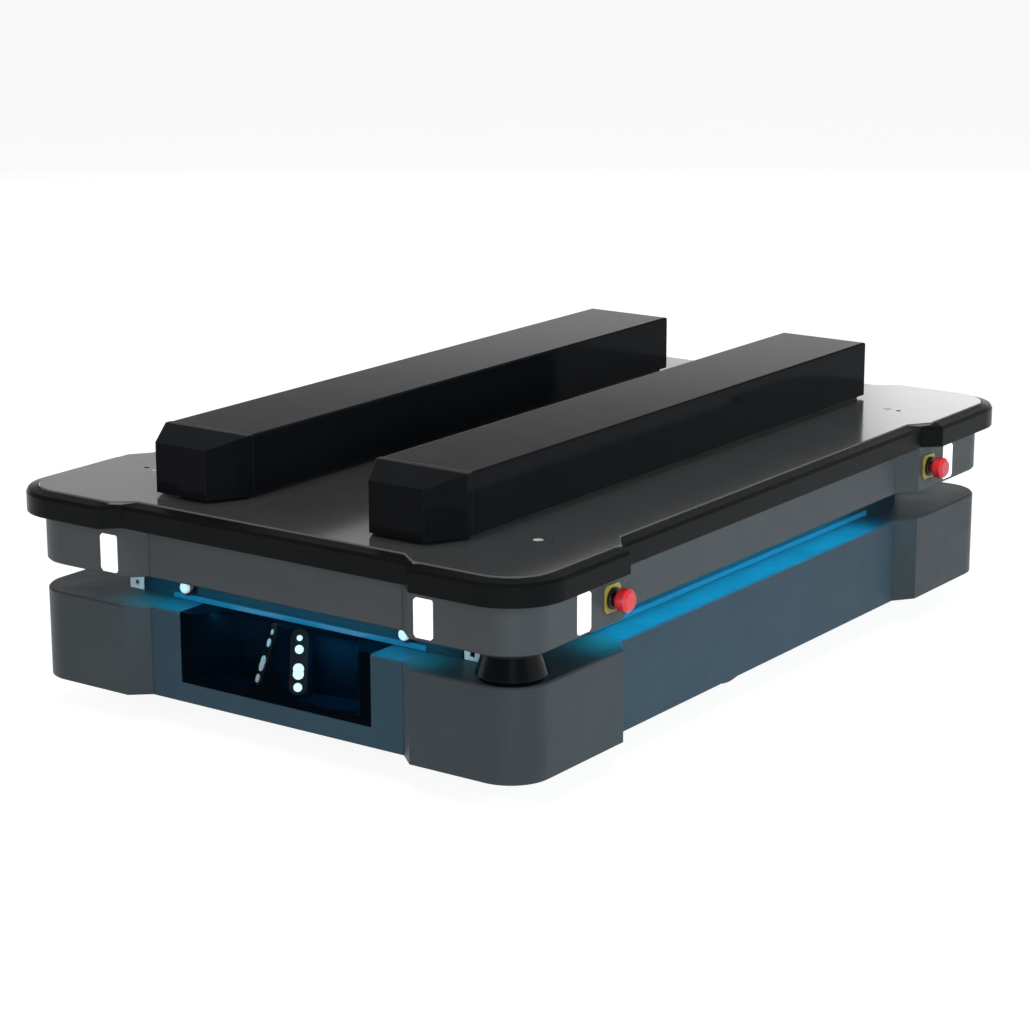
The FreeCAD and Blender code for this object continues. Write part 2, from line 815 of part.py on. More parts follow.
def top_frame():
    """Square posts on the deck under a ladder frame that carries the load plate."""
    body = new_body("top_frame")
    top = "(plate_top - plate_thickness)"
    beam_bottom = f"({top} - frame_height)"
    outer = box_corners("-frame_half_width", "frame_half_width",
                        "-frame_half_length", "frame_half_length")
    bays = []
    bay_length = "((2 * frame_half_length - 4 * frame_beam) / 3)"
    for number in range(3):
        start = f"(-frame_half_length + frame_beam + {number} * ({bay_length} + frame_beam))"
        for low, high in (("-frame_half_width + frame_beam", "-lift_x - jack_beam"),
                          ("-lift_x + jack_beam", "lift_x - jack_beam"),
                          ("lift_x + jack_beam", "frame_half_width - frame_beam")):
            bays.append(box_corners(low, high, start, f"{start} + {bay_length}"))
    pad(body, sketch(body, "XY_Plane", [outer] + bays, beam_bottom), "frame_height")
    posts = []
    for x, y in (("post_end_x", "post_end_y"), ("post_side_x", "post_corner_y"),
                 ("post_side_x", "post_side_y")):
        for sign_x, sign_y in QUARTERS.values():
            posts.append(box_corners(f"{sign_x} * {x} - post_side / 2", f"{sign_x} * {x} + post_side / 2",
                                     f"{sign_y} * {y} - post_side / 2", f"{sign_y} * {y} + post_side / 2"))
    deck_top = "(deck_bottom + deck_thickness)"
    pad(body, sketch(body, "XY_Plane", posts, deck_top), f"{beam_bottom} - {deck_top}")
    pocket(body, sketch(body, "XY_Plane", jack_windows(), top), "frame_height + overcut")
    return keep("top_frame", body)


def battery():
    pack = new_body("battery")
    top = "(deck_bottom - tray_wall)"
    outline = box_corners("-battery_half_width", "battery_half_width", "battery_front", "battery_back")
    pad(pack, sketch(pack, "XY_Plane", [outline], f"{top} - battery_height"), "battery_height")
    keep("battery", pack)
    tray = new_body("battery_tray")
    low = f"({top} - battery_height - tray_wall)"
    side = "(battery_half_width + tray_wall)"
    section = [(f"-{side}", low), (side, low), (side, "deck_bottom"),
               ("battery_half_width", "deck_bottom"), ("battery_half_width", f"{low} + tray_wall"),
               ("-battery_half_width", f"{low} + tray_wall"), ("-battery_half_width", "deck_bottom"),
               (f"-{side}", "deck_bottom")]
    drawing = sketch(tray, "XZ_Plane", [section], "-(battery_back + tray_wall)")
    pad(tray, drawing, "battery_back - battery_front + 2 * tray_wall")
    keep("battery_tray", tray)


def electronics():
    """Computer and motor drives on the deck, each a box with cooling fins on top."""
    deck_top = "(deck_bottom + deck_thickness)"
    units = []
    for number, word in enumerate(("computer", "motor_drives")):
        body = new_body(word)
        near = f"(-battery_back + {number} * (computer_length + box_gap))"
        outline = box_corners("-computer_width / 2", "computer_width / 2",
                              near, f"{near} + computer_length")
        pad(body, sketch(body, "XY_Plane", [outline], deck_top), "computer_height")
        pitch = "(computer_width / (2 * fin_count + 1))"
        slots = []
        for fin in range(int(value("fin_count"))):
            left = f"(-computer_width / 2 + ({2 * fin} + 1) * {pitch})"
            slots.append(box_corners(left, f"{left} + {pitch}", f"{near} - overcut",
                                     f"{near} + computer_length + overcut"))
        pocket(body, sketch(body, "XY_Plane", slots, f"{deck_top} + computer_height"), "fin_depth")
        units.append(body)
    group("electronics", units)


# ---------------------------------------------------------------- wheels
def drive_motors():
    """Gearmotors under the deck: square gear case, round motor, wheel shaft."""
    units = []
    for word, sign in (("left", 1), ("right", -1)):
        body = new_body("gearmotor_" + word)
        inner_face = "(drive_outer_x - drive_width)"
        case_far = f"({inner_face} - running_gap - turn_gap)"
        case = box_corners("-gear_side / 2", "gear_side / 2", "drive_radius - gear_side / 2", "deck_bottom")
        away = sign < 0
        pad(body, sketch(body, "YZ_Plane", [case], f"{sign} * ({case_far} - gear_length)"),
            "gear_length", back=away)
        pad(body, sketch(body, "YZ_Plane", [("0", "drive_radius", "motor_radius")],
                         f"{sign} * ({case_far} - gear_length)"), "motor_length", back=not away)
        pad(body, sketch(body, "YZ_Plane", [("0", "drive_radius", "drive_shaft")],
                         f"{sign} * {case_far}"), "drive_width - hub_recess", back=away)
        units.append(body)
    group("drive_motors", units)


def drive_wheel(word, sign):
    """A drive wheel: a dished hub on the gearmotor's shaft, and its tread."""
    turn = 90 * sign
    rim_radius = "(drive_radius - tread)"
    hub = new_body("drive_hub_" + word)
    bore = "drive_shaft + running_gap"
    revolve(hub, [(bore, "0"), (rim_radius, "0"), (rim_radius, "drive_width"),
                  (f"{rim_radius} - hub_rim", "drive_width"),
                  (f"{rim_radius} - hub_rim - hub_slope", "drive_width - hub_recess"),
                  (bore, "drive_width - hub_recess")])
    place(hub, f"{sign} * (drive_outer_x - drive_width)", "0", "drive_radius", (0, 1, 0), turn)
    keep("drive_hub_" + word, hub)
    tyre = new_body("drive_tyre_" + word)
    revolve(tyre, [(rim_radius, "0"), ("drive_radius - tread_edge", "0"), ("drive_radius", "tread_edge"),
                   ("drive_radius", "drive_width - tread_edge"),
                   ("drive_radius - tread_edge", "drive_width"),
                   (rim_radius, "drive_width")])
    place(tyre, f"{sign} * (drive_outer_x - drive_width)", "0", "drive_radius", (0, 1, 0), turn)
    keep("drive_tyre_" + word, tyre)


def caster_mounts():
    """Caster top plates bolted under the deck, each with its bearing cup and king pin."""
    body = new_body("caster_mount_front_left")
    plate = box_corners("-caster_plate_x / 2", "caster_plate_x / 2",
                        "-caster_plate_y / 2", "caster_plate_y / 2")
    pad(body, sketch(body, "XY_Plane", [plate], "deck_bottom - caster_plate_z"), "caster_plate_z")
    cup_bottom = "(2 * caster_radius + caster_crown_rise + caster_crown + turn_gap)"
    pad(body, sketch(body, "XY_Plane", [("0", "0", "caster_head")], cup_bottom),
        f"deck_bottom - caster_plate_z - {cup_bottom}")
    pad(body, sketch(body, "XY_Plane", [("0", "0", "caster_pin")],
                     "2 * caster_radius + caster_crown_rise"), "caster_crown + turn_gap")
    place(body, "caster_x", "-caster_y")
    four_corners("caster_mounts", body)


def caster(word, sign_x, sign_y):
    """A swivel fork with its axle, and the wheel that turns in it."""
    fork = new_body("caster_fork_" + word)
    crown_low = "(2 * caster_radius + caster_crown_rise)"
    pad(fork, sketch(fork, "XY_Plane", [("0", "0", "caster_head")], crown_low), "caster_crown")
    inner = "(caster_width / 2 + fork_gap)"
    outer = "(caster_width / 2 + fork_gap + fork_leg)"
    for sign in (1, -1):
        leg = [("-caster_head + fork_root", crown_low),
               ("caster_trail - fork_boss", "caster_radius - fork_boss"),
               ("caster_trail + fork_boss", "caster_radius - fork_boss"),
               ("caster_trail + fork_boss", "caster_radius + fork_boss"),
               ("caster_head - fork_root", f"{crown_low} + caster_crown"),
               ("-caster_head + fork_root", f"{crown_low} + caster_crown")]
        pad(fork, sketch(fork, "YZ_Plane", [leg], f"{sign} * {inner}"), "fork_leg", back=sign < 0)
    pocket(fork, sketch(fork, "XY_Plane", [("0", "0", "caster_pin + running_gap")],
                        f"{crown_low} + caster_crown"), "caster_crown + overcut")
    holes = sketch(fork, "YZ_Plane", [("caster_trail", "caster_radius", "caster_axle + running_gap")],
                   f"{outer} + overcut")
    pocket(fork, holes, f"2 * ({outer} + overcut)")
    axle = new_body("caster_axle_" + word)
    pad(axle, sketch(axle, "YZ_Plane", [("caster_trail", "caster_radius", "caster_axle")],
                     f"-{outer} - axle_proud"), f"2 * ({outer} + axle_proud)")
    carrier = doc.addObject("Part::Compound", "caster_carrier_" + word)
    carrier.Links = [fork, axle]
    place(carrier, f"{sign_x} * caster_x", f"{sign_y} * caster_y")
    keep("caster_fork_" + word, carrier)
    wheel_core = new_body("caster_hub_" + word)
    hub_radius = "(caster_radius - caster_tread)"
    half = "caster_width / 2"
    web = "(caster_web / 2)"
    bore = "(caster_axle + running_gap)"
    lip = "(caster_radius - caster_tread - caster_lip)"
    revolve(wheel_core, [(bore, f"-{web}"), (lip, f"-{web}"), (lip, f"-{half}"), (hub_radius, f"-{half}"),
                         (hub_radius, half), (lip, half), (lip, web), (bore, web)])
    tyre = new_body("caster_tyre_" + word)
    revolve(tyre, [(hub_radius, f"-{half}"), ("caster_radius - caster_tread_edge", f"-{half}"),
                   ("caster_radius", f"-{half} + caster_tread_edge"),
                   ("caster_radius", f"{half} - caster_tread_edge"),
                   ("caster_radius - caster_tread_edge", half), (hub_radius, half)])
    wheel = doc.addObject("Part::Compound", "caster_wheel_pair_" + word)
    wheel.Links = [wheel_core, tyre]
    place(wheel, f"{sign_x} * caster_x", f"{sign_y} * caster_y + caster_trail", "caster_radius",
          (0, 1, 0), 90)
    keep("caster_wheel_" + word, wheel)


# ---------------------------------------------------------------- lifts
LIFT_BOTTOM = "(plate_top + lift_shadow)"
LIFT_TOP = "(plate_top + lift_height)"


def lift_outline(inset="0"):
    """Plan of a lift bar: square at the back, both front corners cut off."""
    half = f"(lift_width / 2 - ({inset}))"
    front = f"(-lift_front + ({inset}))"
    return [(f"-{half}", f"lift_back - ({inset})"), (f"-{half}", f"{front} + nose_length"),
            (f"-{half} + nose_side", front), (f"{half} - nose_side", front),
            (half, f"{front} + nose_length"), (half, f"lift_back - ({inset})")]


def lift_cover(word, sign):
    """The sheet cover of a bar, open underneath, and the tapered cap on its nose."""
    seam = "(-lift_front + nose_back)"
    half = "(lift_width / 2)"
    cover = new_body("lift_cover_" + word)
    plan = box_corners(f"-{half}", half, seam, "lift_back")
    block = pad(cover, sketch(cover, "XY_Plane", [plan], LIFT_BOTTOM), f"{LIFT_TOP} - {LIFT_BOTTOM}")
    top = value(LIFT_TOP)

    def long_top_edge(edge):
        return flat_at(top)(edge) and abs(edge.CenterOfMass.y - value(seam)) > 1
    round_edges(cover, block, long_top_edge, "lift_round")
    hollow = box_corners(f"-{half} + lift_skin", f"{half} - lift_skin", f"{seam} - overcut",
                         "lift_back - lift_skin")
    pocket(cover, sketch(cover, "XY_Plane", [hollow], f"{LIFT_TOP} - lift_skin"),
           f"{LIFT_TOP} - {LIFT_BOTTOM}")
    place(cover, f"{sign} * lift_x")
    keep("lift_cover_" + word, cover)

    nose = new_body("lift_nose_" + word)
    corners = lift_outline()
    plan = corners[1:5]
    plan = [(f"-{half}", f"{seam} - nose_seam")] + plan + [(half, f"{seam} - nose_seam")]
    pad(nose, sketch(nose, "XY_Plane", [plan], LIFT_BOTTOM), f"{LIFT_TOP} - {LIFT_BOTTOM}")
    slope = [("-lift_front - overcut", f"{LIFT_TOP} + overcut"),
             ("-lift_front - overcut", f"{LIFT_TOP} - nose_drop"),
             ("-lift_front", f"{LIFT_TOP} - nose_drop"), ("-lift_front + nose_length", LIFT_TOP),
             ("-lift_front + nose_length", f"{LIFT_TOP} + overcut")]
    pocket(nose, sketch(nose, "YZ_Plane", [slope], half), "lift_width")
    place(nose, f"{sign} * lift_x")
    keep("lift_nose_" + word, nose)


def lift_rods(word, sign):
    """Three rods that rise out of the jacks and push the cover up."""
    rods = []
    for number, (x, y) in enumerate(jack_places()[:3]):
        rod = new_body(f"lift_rod_{word}_{number + 1}")
        foot = "(deck_bottom + deck_thickness + jack_foot)"
        pad(rod, sketch(rod, "XY_Plane", [("0", y, "rod_radius")], foot),
            f"{LIFT_TOP} - lift_skin - {foot}")
        rods.append(rod)
    together = group("lift_rods_" + word, rods)
    place(together, f"{sign} * lift_x")


def lift_jacks():
    """Outer tubes of the six jacks, standing on the deck."""
    tubes = []
    low = "(deck_bottom + deck_thickness)"
    for number, (x, y) in enumerate(jack_places()):
        tube = new_body(f"lift_jack_{number + 1}")
        height = f"({LIFT_TOP} - lift_skin - jack_head - {low})"
        revolve(tube, [("0", "0"), ("jack_radius", "0"), ("jack_radius", height),
                       ("rod_radius + running_gap", height),
                       ("rod_radius + running_gap", "jack_foot - running_gap"),
                       ("0", "jack_foot - running_gap")])
        place(tube, x, y, low)
        tubes.append(tube)
    group("lift_jacks", tubes)


def lift_bases():
    """Fixed frames on the load plate that the covers close down over."""
    frames = []
    for word, sign in (("left", 1), ("right", -1)):
        body = new_body("lift_base_" + word)
        outer_inset = "(lift_skin + lift_base_gap)"
        inner_inset = "(lift_skin + lift_base_gap + lift_skin)"
        half = f"(lift_width / 2 - {outer_inset})"
        inner = f"(lift_width / 2 - {inner_inset})"
        front = "(-lift_front + nose_back + lift_base_gap)"
        rings = [box_corners(f"-{half}", half, front, f"lift_back - {outer_inset}"),
                 box_corners(f"-{inner}", inner, f"{front} + lift_skin", f"lift_back - {inner_inset}")]
        pad(body, sketch(body, "XY_Plane", rings, "plate_top"),
            "lift_shadow + lift_stroke + lift_cover_lap")
        place(body, f"{sign} * lift_x")
        frames.append(body)
    group("lift_bases", frames)


# ---------------------------------------------------------------- controls
def signal_lights():
    """Two light windows at each corner of the upper covers."""
    def short_edge(edge):
        return edge.Length < value("signal_depth") + 0.01
    end = new_body("signal_end")
    seat = "(signal_depth - signal_proud)"
    window = box_corners("-signal_width / 2", "signal_width / 2", "0", "signal_height")
    face = pad(end, sketch(end, "XZ_Plane", [window]), "signal_depth")
    bevel_edges(end, face, short_edge, "signal_clip", "signal_clip")
    place(end, "signal_x", f"-{HALF_LENGTH} + {seat}", "signal_bottom")
    side = new_body("signal_side")
    face = pad(side, sketch(side, "YZ_Plane", [window]), "signal_depth")
    bevel_edges(side, face, short_edge, "signal_clip", "signal_clip")
    place(side, f"{HALF_WIDTH} - {seat}", "-signal_y", "signal_bottom")
    lamps = []
    for lamp in (end, side):
        across = mirrored(lamp, lamp.Name + "_across", (1, 0, 0))
        behind = mirrored(lamp, lamp.Name + "_behind", (0, 1, 0))
        opposite = mirrored(behind, lamp.Name + "_opposite", (1, 0, 0))
        lamps += [lamp, across, behind, opposite]
    group("signal_lights", lamps)


def emergency_stops():
    """Yellow back plate, black collar and sprung red cap at each end of both sides."""
    plate = new_body("stop_plate")
    width, height = "stop_plate_width", "stop_plate_height"
    blank = box_corners(f"-{width} / 2", f"{width} / 2", f"-{height} / 2", f"{height} / 2")
    drawing = sketch(plate, "YZ_Plane", [blank, ("0", "0", "stop_neck + stop_hole_play")])
    sheet_metal = pad(plate, drawing, "stop_plate_depth")
    corner = value("stop_plate_depth") + 0.01
    bevel_edges(plate, sheet_metal, lambda edge: edge.Length < corner, "stop_plate_clip", "stop_plate_clip")
    place(plate, HALF_WIDTH, "-stop_y", "stop_z")
    four_corners("stop_plates", plate)

    collar = new_body("stop_collar")
    bore = "(stop_stem + running_gap)"
    revolve(collar, [(bore, "-2 * cover_wall"), ("stop_neck", "-2 * cover_wall"),
                     ("stop_neck", "stop_plate_depth"),
                     ("stop_collar_radius", "stop_plate_depth"),
                     ("stop_collar_radius", "stop_plate_depth + stop_collar_length - stop_collar_edge"),
                     ("stop_collar_radius - stop_collar_edge", "stop_plate_depth + stop_collar_length"),
                     (bore, "stop_plate_depth + stop_collar_length")])
    place(collar, HALF_WIDTH, "-stop_y", "stop_z", (0, 1, 0), 90)
    four_corners("stop_collars", collar)

    for word, (sign_x, sign_y) in QUARTERS.items():
        cap = new_body("stop_cap_" + word)
        start = "(stop_plate_depth + stop_collar_length + stop_travel + stop_rest_gap)"
        end = f"({start} + stop_cap_length)"
        revolve(cap, [("0", "0"), ("stop_stem", "0"), ("stop_stem", start),
                      ("stop_cap_radius - stop_cap_edge", start),
                      ("stop_cap_radius", f"{start} + stop_cap_edge"),
                      ("stop_cap_radius", f"{end} - stop_cap_crown"),
                      ("stop_cap_radius - stop_cap_crown", end), ("0", end)])
        place(cap, f"{sign_x} * ({HALF_WIDTH})", f"{sign_y} * stop_y", "stop_z", (0, 1, 0), 90 * sign_x)
        keep("stop_cap_" + word, cap)


def release_buttons():
    """Two sprung buttons with round bezels on the front slot wall."""
    bezels = []
    for word, sign in (("left", 1), ("right", -1)):
        bezel = new_body("release_bezel_" + word)
        bore = "(release_radius + running_gap)"
        revolve(bezel, [(bore, "-gap_wall"), ("release_neck", "-gap_wall"),
                        ("release_neck", "0"), ("release_bezel", "0"),
                        ("release_bezel", "release_bezel_length - release_edge"),
                        ("release_bezel - release_edge", "release_bezel_length"),
                        (bore, "release_bezel_length")])
        place(bezel, f"{sign} * release_x", f"-{WALL_Y}", "release_z", (1, 0, 0), 90)
        bezels.append(bezel)
        button = new_body("release_button_" + word)
        end = "(release_bezel_length + release_travel + release_proud)"
        revolve(button, [("0", "-gap_wall"), ("release_radius", "-gap_wall"),
                         ("release_radius", f"{end} - release_edge"),
                         ("release_radius - release_edge", end), ("0", end)])
        place(button, f"{sign} * release_x", f"-{WALL_Y}", "release_z", (1, 0, 0), 90)
        keep("release_button_" + word, button)
    group("release_bezels", bezels)


# ---------------------------------------------------------------- camera niche
def niche_lining():
    """The glossy lining: two shallow bays that open to the front and to the slot above."""
    body = new_body("niche_lining")
    face = f"({PANEL_Y} - niche_sink)"
    half = "(niche_half - niche_fit)"
    block = box_corners(f"-{half}", half, f"-{face}", f"-{WALL_Y}")
    pad(body, sketch(body, "XY_Plane", [block], "niche_bottom + niche_fit"),
        "lower_top - niche_bottom - niche_fit")
    back = f"(-{PANEL_Y} + niche_back_depth)"
    throat = f"({back} - niche_throat)"
    lip_floor = "(niche_floor + niche_lip)"
    bay = [("niche_mouth_half", f"-{face} - overcut"), ("niche_back_half", back),
           ("wedge_back_half", throat), ("-wedge_back_half", throat),
           ("-niche_back_half", back), ("-niche_mouth_half", f"-{face} - overcut")]
    bays = pocket(body, sketch(body, "XY_Plane", [bay], "lower_top"), f"lower_top - {lip_floor}")
    tall = value(f"lower_top - {lip_floor}")

    def deep_corner(edge):
        upright = abs(edge.tangentAt(edge.FirstParameter).z) > 0.99
        at_back = abs(abs(edge.CenterOfMass.x) - value("niche_back_half")) < 0.5
        return upright and at_back and abs(edge.Length - tall) < 0.01
    round_edges(body, bays, deep_corner, "niche_round")
    return body


def camera_shape(name, sign):
    """A stereo camera: an upright capsule with flat front and back."""
    body = new_body(name)
    straight = "(camera_height / 2 - camera_width / 2)"
    half = "(camera_width / 2)"
    plan = [(f"-{half}", f"-{straight}"), (half, f"-{straight}"), (half, straight), (f"-{half}", straight)]
    pad(body, sketch(body, "XZ_Plane", [plan], "-camera_depth + camera_proud"), "camera_depth")
    for end in (1, -1):
        pad(body, sketch(body, "XZ_Plane", [("0", f"{end} * {straight}", half)],
                         "-camera_depth + camera_proud"), "camera_depth")
    turn_camera(body, sign)
    return body


def turn_camera(thing, sign):
    """Aim a camera part outwards and upwards from its place on the wedge."""
    yaw = Rotation(Vector(0, 0, 1), sign * value("camera_yaw"))
    tilt = Rotation(Vector(1, 0, 0), -value("camera_tilt"))
    thing.Placement = Placement(Vector(), yaw * tilt)
    place(thing, f"{sign} * camera_x", "-camera_y", "camera_z")


def wedge_level(height):
    """Corners of the wedge at a height, from the plane that the cameras look out of."""
    lean = f"(({height} - camera_z) * tan(camera_tilt))"
    middle_x = f"(camera_x - {lean} * sin(camera_yaw))"
    middle_y = f"(-camera_y + {lean} * cos(camera_yaw))"
    reach = "(camera_width / 2 + camera_margin)"
    end_x = f"({middle_x} + {reach} * cos(camera_yaw))"
    end_y = f"({middle_y} + {reach} * sin(camera_yaw))"
    ridge_y = f"({middle_y} - {middle_x} * tan(camera_yaw))"
    return end_x, end_y, ridge_y


def camera_group():
    """The V-shaped block between the bays, and the cameras let into it and into the lining."""
    body = new_body("camera_block")
    back = f"(-{PANEL_Y} + niche_back_depth - niche_throat)"
    sections = []
    for height in ("(niche_floor + niche_lip)", "lower_top"):
        end_x, end_y, ridge_y = wedge_level(height)
        corners = [("wedge_back_half", back), (end_x, end_y), ("0", ridge_y),
                   (f"-{end_x}", end_y), ("-wedge_back_half", back)]
        sections.append(sketch(body, "XY_Plane", [corners], height))
    loft = body.newObject("PartDesign::AdditiveLoft", "camera_block_loft")
    loft.Profile = sections[0]
    loft.Sections = sections[1:]
    loft.Ruled = True
    doc.recompute()
    front = box_corners("-niche_half", "niche_half", "0", "lower_top + overcut")
    pocket(body, sketch(body, "XZ_Plane", [front], HALF_LENGTH), "panel_step + niche_sink")
    cameras = [camera_shape("camera_left", 1), camera_shape("camera_right", -1)]
    pair = group("depth_cameras", cameras)
    doc.recompute()
    cut("camera_wedge", body, pair)
    cut("camera_niche", niche_lining(), pair)


def camera_lenses():
    """Four windows on each camera: projector, imagers and colour lens."""
    lenses = []
    for word, sign in (("left", 1), ("right", -1)):
        for number, (up, radius, straight) in enumerate((
                ("lens_dot_z", "lens_dot_radius", "0"), ("lens_high_z", "lens_high_radius", "0"),
                ("lens_oval_z", "lens_oval_radius", "lens_oval_straight"),
                ("lens_low_z", "lens_low_radius", "0"))):
            body = new_body(f"lens_{word}_{number + 1}")
            for end in ((1, -1) if value(straight) else (1,)):
                pad(body, sketch(body, "XZ_Plane", [("0", f"{up} + {end} * {straight}", radius)],
                                 "camera_proud"), "lens_depth")
            turn_camera(body, sign)
            lenses.append(body)
    group("camera_lenses", lenses)


def build():
    lower_corners()
    upper_corners()
    lower_panels()
    upper_panels()
    edge_trim()
    top_plate()
    plate_inserts()
    gap_wall()
    light_strips()
    laser_scanner("scanner_front", 1, -1)
    laser_scanner("scanner_rear", -1, 1)
    slot_brackets()
    chassis_deck()
    top_frame()
    battery()
    electronics()
    drive_motors()
    for word, sign in (("left", 1), ("right", -1)):
        drive_wheel(word, sign)
        lift_cover(word, sign)
        lift_rods(word, sign)
    lift_jacks()
    lift_bases()
    caster_mounts()
    for word, (sign_x, sign_y) in QUARTERS.items():
        caster(word, sign_x, sign_y)
    signal_lights()
    emergency_stops()
    release_buttons()
    camera_group()
    camera_lenses()
    doc.recompute()


def check():
    """Stop before anything is written if an object failed or a sub-part isn't sound."""
    for thing in doc.Objects:
        if "Invalid" in thing.State or "Error" in thing.State:
            raise RuntimeError(f"{thing.Name} failed: {thing.State}")
    for name, thing in nodes.items():
        if thing.Shape.isNull() or not thing.Shape.isValid():
            raise RuntimeError(f"{name} has no sound shape")


def write():
    os.makedirs("parts", exist_ok=True)
    for name, thing in nodes.items():
        thing.Shape.exportStep(f"parts/{name}.step")


build()
check()
write()
print(len(nodes), "sub-parts,", sum(len(thing.Shape.Solids) for thing in nodes.values()), "solids")
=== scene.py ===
import math

import bmesh
import bpy
from mathutils import Matrix, Vector


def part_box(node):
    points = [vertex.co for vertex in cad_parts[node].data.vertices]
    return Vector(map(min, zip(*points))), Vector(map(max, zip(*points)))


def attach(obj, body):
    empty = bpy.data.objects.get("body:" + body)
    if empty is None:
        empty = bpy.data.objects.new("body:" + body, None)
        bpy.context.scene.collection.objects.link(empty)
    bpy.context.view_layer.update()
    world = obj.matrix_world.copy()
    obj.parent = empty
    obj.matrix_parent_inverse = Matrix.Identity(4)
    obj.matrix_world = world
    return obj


# Autonomous mobile robot with two pallet lift bars. Metres, +Z up, the camera
# end of the robot faces -Y and its own left side faces +X.

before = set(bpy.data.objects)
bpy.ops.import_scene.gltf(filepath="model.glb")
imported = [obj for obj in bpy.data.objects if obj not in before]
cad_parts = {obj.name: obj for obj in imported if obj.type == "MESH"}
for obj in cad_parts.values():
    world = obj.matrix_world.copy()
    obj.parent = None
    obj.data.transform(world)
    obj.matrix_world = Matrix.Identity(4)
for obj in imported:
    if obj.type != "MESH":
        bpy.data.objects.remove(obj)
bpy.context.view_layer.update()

QUARTERS = ("front_left", "front_right", "rear_left", "rear_right")

# Camera: where it stands round the robot in degrees, what it looks at, and its lens in mm.
CAMERA_AZIMUTH = 35.5
CAMERA_ELEVATION = 14.7
CAMERA_ROLL = -0.1
CAMERA_DISTANCE = 4.485
CAMERA_TARGET = Vector((-0.1436, 0.140, 0.150))
CAMERA_LENS = 98.29
CAMERA_SENSOR = 36.0
CAMERA_REACH = 60.0

# What all finishes share: noise scales, the depth of the grain and the rounding of sharp edges.
CLOUD_SCALE = 9.0
SMUDGE_SCALE = 22.0
WEAR_SCALE = 140.0
GRAIN_DEPTH = 0.0004
EDGE_RADIUS = 0.0012
COAT_ROUGHNESS = 0.12

# Bracket legs: bent sheet, its slotted hole as shares of the height, and its small gaps.
LEG_WIDTH = 0.026
LEG_THICKNESS = 0.003
LEG_DEPTH = 0.012
LEG_INSET = 0.002
LEG_SETBACK = 0.0005
LEG_TOP_GAP = 0.0003
LEG_FOOT_GAP = 0.0002
LEG_HOLE_HALF = 0.004
LEG_HOLE_LOW = 0.30
LEG_HOLE_HIGH = 0.70
LEG_EDGE = 0.0006

# Floor: its reach, and how bright it looks to the camera and in gloss.
FLOOR_REACH = 20.0
FLOOR_GLOW = 0.90

# Studio lamps: name, place, aim, width, height, watts, colour, and whether gloss shows them.
WHITE = (1.0, 1.0, 1.0)
LAMPS = (
    ("overhead", (0.3, -0.6, 3.6), (0.0, 0.0, 0.2), 3.0, 3.0, 82, WHITE, False),
    ("front_box", (-1.6, -4.2, 1.9), (0.0, -0.4, 0.2), 2.2, 1.8, 44, WHITE, False),
    ("side_box", (4.4, -0.2, 1.7), (0.4, 0.0, 0.2), 2.6, 1.4, 88, (0.76, 0.95, 1.0), False),
    ("corner_box", (2.6, -3.3, 0.62), (0.3, -0.5, 0.2), 1.5, 1.0, 38, WHITE, True),
    ("rear_box", (-2.8, 4.2, 1.5), (0.0, 0.3, 0.2), 2.2, 1.4, 60, WHITE, False),
)

# Light strips in the slot: they hang just under the upper covers and aim slightly inwards.
GLOW_COLOUR = (0.0, 0.71, 1.0)
GLOW_INSET = 0.012
GLOW_BELOW = 0.001
GLOW_LEAN = 0.03
GLOW_STRIP = 0.006
GLOW_SIDE_MIDDLE = -0.05
GLOW_SIDE_LENGTH = 0.74
GLOW_SIDE_WATTS = 1.3
GLOW_END_LENGTH = 0.52
GLOW_END_WATTS = 0.40
NICHE_BAY = 0.105
NICHE_INSET = 0.028
NICHE_AIM = 0.055
NICHE_LENGTH = 0.10
NICHE_STRIP = 0.004
NICHE_WATTS = {-1: 0.06, 1: 0.30}

# World: a pale wall behind the robot, a brighter patch in it, and the line where the
# dark ceiling starts. Each pair is the cosine to the direction at which a change starts and ends.
WALL_DIRECTION = (-0.56, 0.81, 0.20)
WALL_EDGE = (0.90, 0.97)
PATCH_DIRECTION = (-0.398, 0.894, 0.208)
PATCH_EDGE = (0.9966, 0.9980)
PATCH_LEVEL = 0.7
CEILING_DIRECTION = (-0.081, -0.053, 0.995)
CEILING_EDGE = (0.214, 0.188)
CEILING_LEVEL = 0.31
WALL_LEVEL = 1.2
FILL_LEVEL = 0.05


def each(prefix, endings, suffix=""):
    return [prefix + ending + suffix for ending in endings]


def link_to_scene(thing):
    bpy.context.scene.collection.objects.link(thing)


